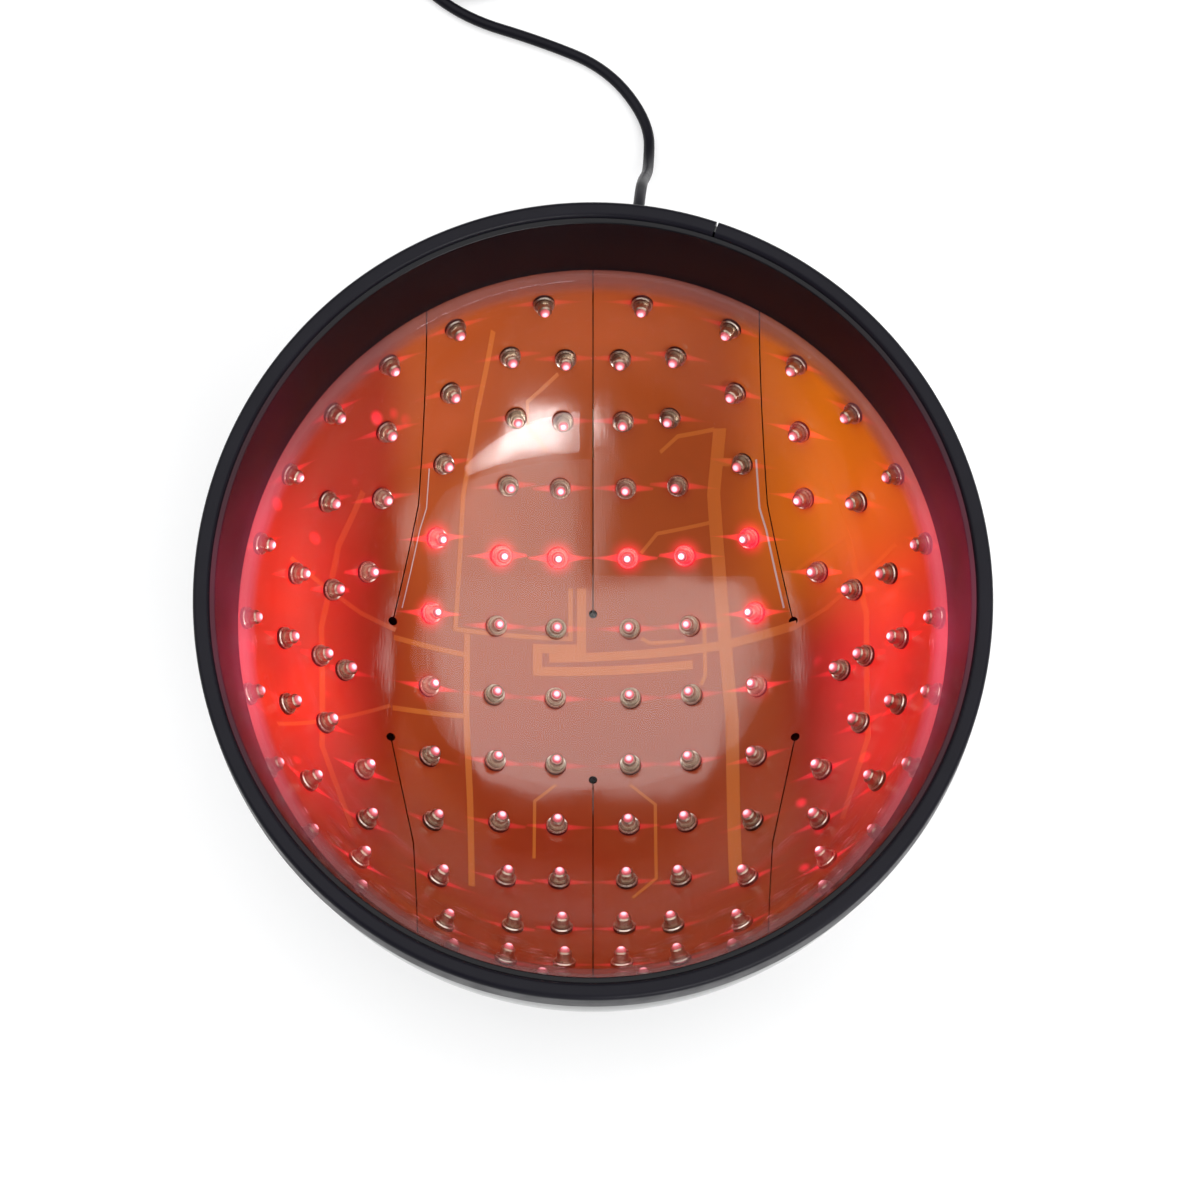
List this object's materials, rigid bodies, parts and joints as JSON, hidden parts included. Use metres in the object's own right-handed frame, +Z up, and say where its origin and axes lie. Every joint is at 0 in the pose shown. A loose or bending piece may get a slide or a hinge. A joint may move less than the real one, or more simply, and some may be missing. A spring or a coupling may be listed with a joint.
{
  "type": "laser therapy cap",
  "caption": "Oval dome cap lined with a grid of small laser diodes on an amber flexible circuit behind a clear liner, with a black rim and a thin lead ending in a barrel plug.",
  "frame": {"origin": "centre of the small flat on the crown, which the cap rests on upside down", "axes": "+Z up through the open rim, +Y towards the back of the head where the lead leaves, +X to the right seen from the front"},
  "size_m": [0.19, 0.3556, 0.098],
  "materials": {
    "shell": "moulded, high gloss",
    "trim": "satin extruded edge trim",
    "bezel": "satin black moulding",
    "clear_liner": "clear moulded plastic, glossy",
    "flex_film": "amber film with copper tracks, glossy",
    "foam": "soft foam",
    "board": "green lacquer",
    "chip": "moulded",
    "capacitor": "fired, tinned ends",
    "red_wire": "smooth",
    "black_wire": "smooth",
    "soft_black": "matte moulded",
    "cable_jacket": "satin jacket",
    "tie": "woven hook and loop",
    "plug_plastic": "fine spark texture",
    "plug_metal": "nickel plated",
    "insulator": "smooth",
    "ring_metal": "nickel plated, fluted",
    "diode_metal": "nickel over gold, spun",
    "diode_lens": "lit red"
  },
  "bodies": {
    "cap": {"outer_shell": "shell", "rim_trim": "trim", "inner_bezel": "bezel", "bezel_clips": "bezel", "clear_liner": "clear_liner", "flex_circuit": "flex_film", "foam_standoffs": "foam", "driver_board": "board", "driver_chip": "chip", "board_capacitors": "capacitor", "wire_socket": "chip", "power_wire": "red_wire", "return_wire": "black_wire", "cable_strain_relief": "soft_black", "lead_cable": "cable_jacket", "lead_coil": "cable_jacket", "coil_tie": "tie", "lead_tail": "cable_jacket", "plug_boot": "soft_black", "plug_body": "plug_plastic", "plug_barrel": "plug_metal", "plug_insulator": "insulator", "diode_header_crown": "diode_metal", "diode_can_crown": "diode_metal", "diode_lens_crown": "diode_lens", "diode_header_back_left": "diode_metal", "diode_can_back_left": "diode_metal", "diode_lens_back_left": "diode_lens", "diode_header_back_right": "diode_metal", "diode_can_back_right": "diode_metal", "diode_lens_back_right": "diode_lens", "diode_header_front_left": "diode_metal", "diode_can_front_left": "diode_metal", "diode_lens_front_left": "diode_lens", "diode_header_front_right": "diode_metal", "diode_can_front_right": "diode_metal", "diode_lens_front_right": "diode_lens", "diode_header_side_left": "diode_metal", "diode_can_side_left": "diode_metal", "diode_lens_side_left": "diode_lens", "diode_header_side_right": "diode_metal", "diode_can_side_right": "diode_metal", "diode_lens_side_right": "diode_lens"},
    "plug_ring": {"coupling_ring": "ring_metal"}
  },
  "joints": [
    {"name": "ring_turn", "type": "hinge", "parent": "cap", "child": "plug_ring", "pos_m": [0.0063, 0.2501, 0.0058], "axis": [1, 0, 0], "continuous": true}
  ]
}
